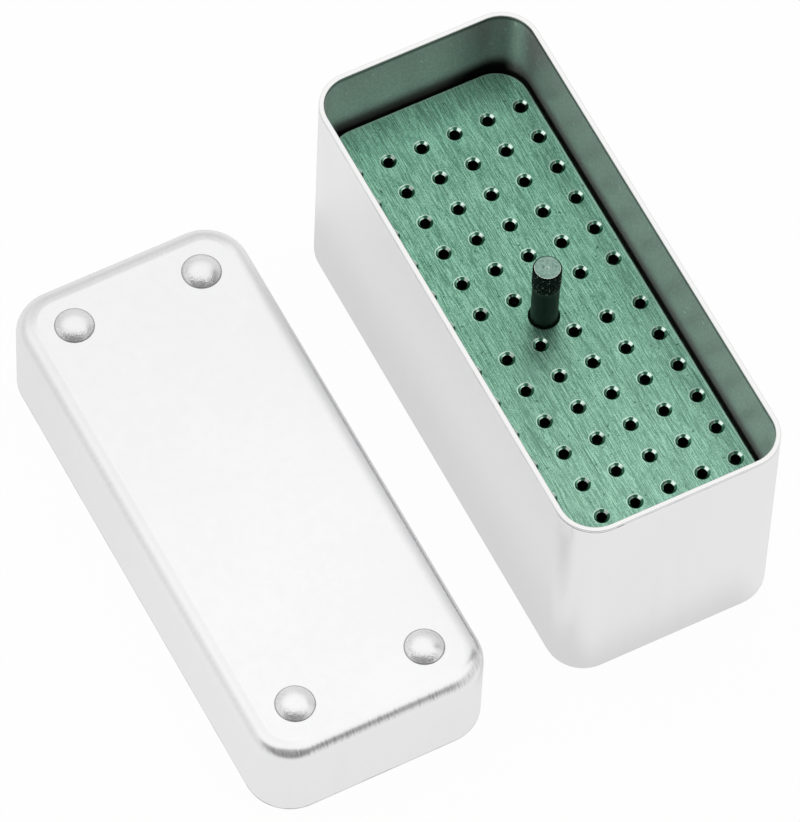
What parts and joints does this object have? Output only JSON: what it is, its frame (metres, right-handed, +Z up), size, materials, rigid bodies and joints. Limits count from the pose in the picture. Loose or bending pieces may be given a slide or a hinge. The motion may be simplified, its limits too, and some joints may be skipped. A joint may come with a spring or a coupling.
{
  "type": "endodontic box",
  "caption": "Drawn aluminium box for root canal files, with a slip-over lid beside it and a green drilled file plate on legs that lifts out by a knurled post.",
  "frame": {"origin": "centre of the base box's underside, where it rests on the table", "axes": "+X along the box's length, +Y across its width away from the lid that lies beside it, +Z up out of the open base"},
  "size_m": [0.0881, 0.0853, 0.0413],
  "materials": {
    "satin_aluminium": "satin anodised silver, bright at the rim",
    "green_anodised": "brushed and green anodised",
    "dark_anodised": "satin dark anodised, knurled grip, bare turned end face",
    "nut_steel": "plain stainless",
    "turned_aluminium": "turned, plain"
  },
  "bodies": {
    "base": {"base_box": "satin_aluminium"},
    "insert": {"file_plate": "green_anodised", "lifting_post": "dark_anodised", "post_nut": "nut_steel", "leg_far_left": "turned_aluminium", "leg_far_right": "turned_aluminium", "leg_near_left": "turned_aluminium", "leg_near_right": "turned_aluminium"},
    "lid": {"lid": "satin_aluminium"}
  },
  "joints": [
    {"name": "insert_lift", "type": "slide", "parent": "base", "child": "insert", "axis": [0, 0, 1], "range_m": [0, 0.045]},
    {"name": "lid_lift", "type": "slide", "parent": "base", "child": "lid", "axis": [0, 0, 1], "range_m": [0, 0.045]}
  ]
}
